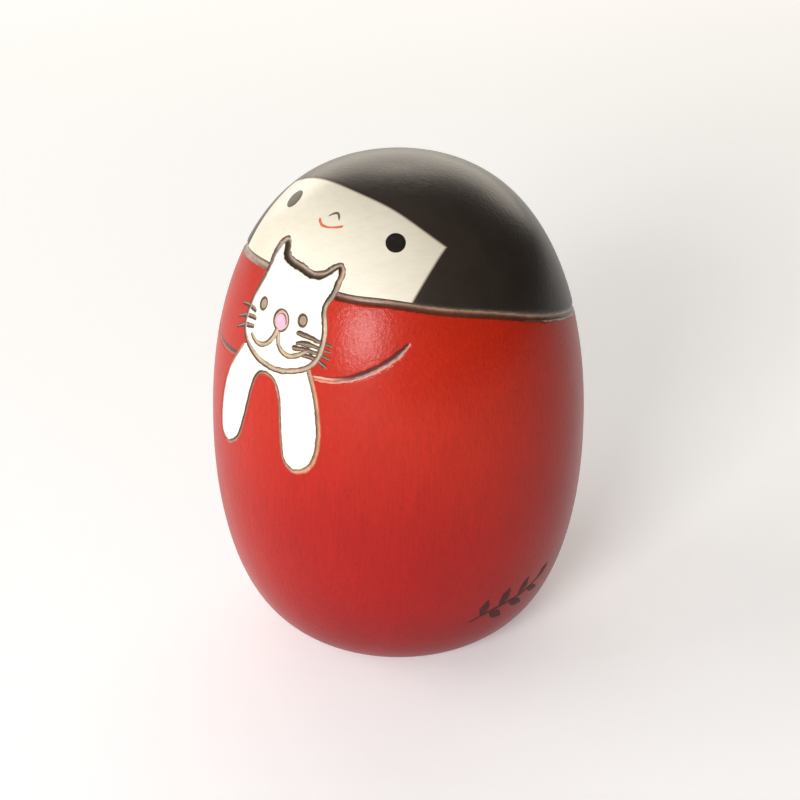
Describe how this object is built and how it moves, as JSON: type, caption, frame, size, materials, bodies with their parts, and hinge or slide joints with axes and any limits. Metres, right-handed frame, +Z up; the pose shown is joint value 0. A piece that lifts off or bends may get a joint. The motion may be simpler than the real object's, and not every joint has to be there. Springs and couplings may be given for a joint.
{
  "type": "kokeshi doll",
  "caption": "Egg-shaped turned wooden doll with a flat foot, an oblique neck groove, an engraved seated cat on its front and lacquered hair.",
  "frame": {"origin": "centre of the flat round foot, on the surface that the doll stands on", "axes": "+Z up along the turning axis, -Y is the way the doll's face looks, +X is the doll's left"},
  "size_m": [0.065, 0.065, 0.085],
  "materials": {
    "red_stained_wood": "semi-gloss clear lacquer over red stain",
    "natural_wood": "gloss clear lacquer over pale wood",
    "hidden_wood": "plain hardwood, unfinished",
    "hair_lacquer": "near-black brown gloss lacquer",
    "white_lacquer": "gloss white lacquer",
    "scorched_wood": "burnt brown floor of an engraved line",
    "black_paint": "gloss black paint",
    "grey_paint": "thin grey-brown brush line",
    "vermilion_paint": "thin orange-red brush line",
    "pink_paint": "pale pink paint",
    "brown_paint": "thin dark brown brush paint"
  },
  "bodies": {
    "root": {"body_block": "red_stained_wood", "head_block": "natural_wood", "neck_dowel": "hidden_wood", "hair_lacquer": "hair_lacquer", "neck_line": "scorched_wood", "cat_head_white": "white_lacquer", "cat_legs_white": "white_lacquer", "cat_head_outline": "scorched_wood", "cat_legs_outline": "scorched_wood", "cat_mouth": "scorched_wood", "cat_nose_ring": "scorched_wood", "cat_nose_pad": "pink_paint", "cat_right_eye": "scorched_wood", "cat_left_eye": "scorched_wood", "cat_left_whiskers": "scorched_wood", "cat_right_whiskers": "scorched_wood", "doll_left_arm": "scorched_wood", "doll_right_arm": "scorched_wood", "doll_right_eye": "black_paint", "doll_left_eye": "black_paint", "doll_nose": "grey_paint", "doll_mouth": "vermilion_paint", "leaf_sprig": "brown_paint"}
  },
  "joints": []
}
